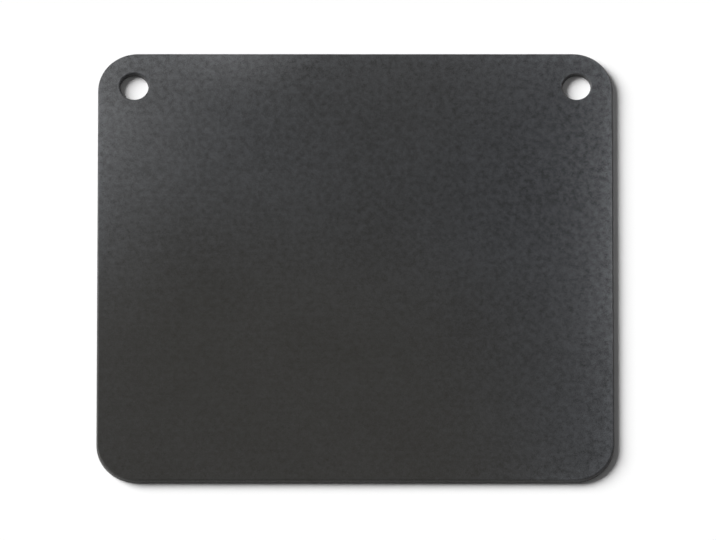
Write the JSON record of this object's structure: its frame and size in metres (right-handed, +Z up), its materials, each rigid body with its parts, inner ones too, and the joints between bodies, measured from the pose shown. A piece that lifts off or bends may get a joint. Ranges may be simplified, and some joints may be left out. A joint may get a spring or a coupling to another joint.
{
  "type": "pizza steel",
  "caption": "Flat rounded rectangular steel plate with hanging holes in its back corners, laid on an oven rack as a hot surface for baking pizza and bread.",
  "frame": {"origin": "middle of the underside, the face that lies on the oven rack", "axes": "+X along the plate's width, +Y towards the back edge with the hanging holes, +Z up out of the cooking face"},
  "size_m": [0.4064, 0.3682, 0.0063],
  "materials": {
    "seasoned_steel": "matte dark grey, oil baked onto fine-grained carbon steel"
  },
  "bodies": {
    "root": {"steel_plate": "seasoned_steel"}
  },
  "joints": []
}
